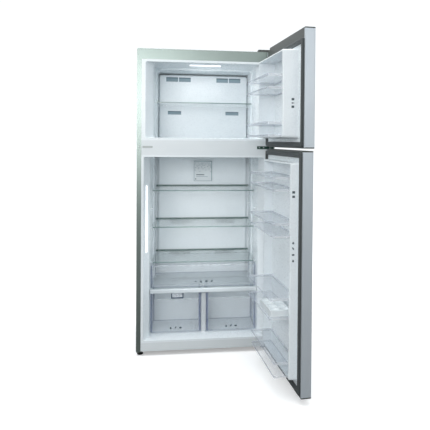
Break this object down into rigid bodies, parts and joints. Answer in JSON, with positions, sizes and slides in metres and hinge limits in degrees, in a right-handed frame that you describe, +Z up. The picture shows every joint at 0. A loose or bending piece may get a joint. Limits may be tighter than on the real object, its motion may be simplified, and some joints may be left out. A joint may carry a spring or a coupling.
{
  "type": "top freezer refrigerator",
  "caption": "Free-standing two-door refrigerator with the freezer on top, both doors open, glass shelves, clear bins and sliding drawers.",
  "frame": {"origin": "on the floor, below the middle of the cabinet's front frame", "axes": "+X to the right as seen from the front, +Y into the cabinet, +Z up"},
  "size_m": [0.9155, 1.5443, 1.862],
  "materials": {
    "silver_paint": "silver powder coat",
    "door_steel": "silver coated steel, satin",
    "back_steel": "grey pre-coated sheet",
    "white_liner": "white high-impact polystyrene",
    "white_trim": "white moulded plastic",
    "foam": "blown polyurethane foam",
    "dark_cap": "dark grey moulded plastic",
    "gasket": "soft grey vinyl",
    "zinc": "dark passivated steel",
    "screw": "zinc-plated screws",
    "shelf_glass": "toughened clear glass",
    "clear_plastic": "clear polystyrene",
    "edge_trim": "dark green-grey edge strip",
    "light_lens": "frosted lens over white diodes",
    "aluminium": "bare aluminium fins and tube",
    "black_plastic": "black moulded plastic",
    "black_paint": "black baked paint",
    "grey_plastic": "grey moulded plastic"
  },
  "bodies": {
    "cabinet": {"side_panel_left": "silver_paint", "side_panel_right": "silver_paint", "top_panel": "silver_paint", "back_panel": "back_steel", "base_pan": "back_steel", "front_sill": "white_trim", "cabinet_foam": "foam", "freezer_liner": "white_liner", "fridge_liner": "white_liner", "mullion_cover": "white_trim", "top_hinge": "zinc", "top_hinge_cover": "dark_cap", "middle_hinge": "zinc", "bottom_hinge": "zinc", "hinge_screws": "screw", "hole_plugs": "grey_plastic", "freezer_back_cover": "white_trim", "evaporator": "aluminium", "fan_motor": "black_plastic", "cabinet_lights": "light_lens", "freezer_shelf": "shelf_glass", "duct_cover": "white_trim", "air_outlet": "white_trim", "shelf_trims": "edge_trim", "crisper_cover": "shelf_glass", "crisper_rail": "white_trim", "crisper_divider": "clear_plastic", "base_plate": "back_steel", "compressor": "black_paint", "condenser": "black_paint", "drain_pan": "grey_plastic", "compressor_cover": "back_steel", "mains_inlet": "black_plastic", "lower_shelf": "shelf_glass", "middle_shelf": "shelf_glass", "upper_shelf": "shelf_glass"},
    "freezer_door": {"freezer_door_skin": "door_steel", "freezer_door_end_caps": "dark_cap", "freezer_door_foam": "foam", "freezer_door_liner": "white_liner", "freezer_door_gasket": "gasket", "freezer_door_bins": "clear_plastic"},
    "fridge_door": {"fridge_door_skin": "door_steel", "fridge_door_end_caps": "dark_cap", "fridge_door_foam": "foam", "fridge_door_liner": "white_liner", "fridge_door_gasket": "gasket", "fridge_door_bins": "clear_plastic", "egg_bin": "clear_plastic", "bottle_bin": "clear_plastic", "egg_trays": "white_trim"},
    "fan": {"fan_blade": "grey_plastic"},
    "chiller": {"chiller_drawer": "clear_plastic"},
    "left_crisper": {"crisper_left": "clear_plastic"},
    "right_crisper": {"crisper_right": "clear_plastic"},
    "slider": {"humidity_slider": "clear_plastic"},
    "left_foot": {"front_foot_left": "black_plastic"},
    "right_foot": {"front_foot_right": "black_plastic"},
    "left_roller": {"rear_roller_left": "black_plastic"},
    "right_roller": {"rear_roller_right": "black_plastic"}
  },
  "joints": [
    {"name": "freezer_door_hinge", "type": "hinge", "parent": "cabinet", "child": "freezer_door", "pos_m": [0.397, -0.044, 1.56], "axis": [0, 0, -1], "range_deg": [-30, 95.95]},
    {"name": "fridge_door_hinge", "type": "hinge", "parent": "cabinet", "child": "fridge_door", "pos_m": [0.397, -0.044, 0.64], "axis": [0, 0, -1], "range_deg": [-30, 95.6]},
    {"name": "chiller_slide", "type": "slide", "parent": "cabinet", "child": "chiller", "axis": [0, 1, 0], "range_m": [-0.25, 0]},
    {"name": "left_crisper_slide", "type": "slide", "parent": "cabinet", "child": "left_crisper", "axis": [0, 1, 0], "range_m": [-0.25, 0]},
    {"name": "right_crisper_slide", "type": "slide", "parent": "cabinet", "child": "right_crisper", "axis": [0, 1, 0], "range_m": [-0.25, 0]},
    {"name": "humidity_slide", "type": "slide", "parent": "cabinet", "child": "slider", "axis": [1, 0, 0], "range_m": [0, 0.05]},
    {"name": "fan_spin", "type": "hinge", "parent": "cabinet", "child": "fan", "pos_m": [-0.01, 0.595, 1.607], "axis": [0, 1, 0], "continuous": true},
    {"name": "left_foot_turn", "type": "hinge", "parent": "cabinet", "child": "left_foot", "pos_m": [-0.392, 0.04, 0.01], "axis": [0, 0, 1], "continuous": true},
    {"name": "right_foot_turn", "type": "hinge", "parent": "cabinet", "child": "right_foot", "pos_m": [0.392, 0.04, 0.01], "axis": [0, 0, 1], "continuous": true},
    {"name": "left_roller_spin", "type": "hinge", "parent": "cabinet", "child": "left_roller", "pos_m": [-0.369, 0.64, 0.02], "axis": [1, 0, 0], "continuous": true},
    {"name": "right_roller_spin", "type": "hinge", "parent": "cabinet", "child": "right_roller", "pos_m": [0.369, 0.64, 0.02], "axis": [1, 0, 0], "continuous": true}
  ]
}
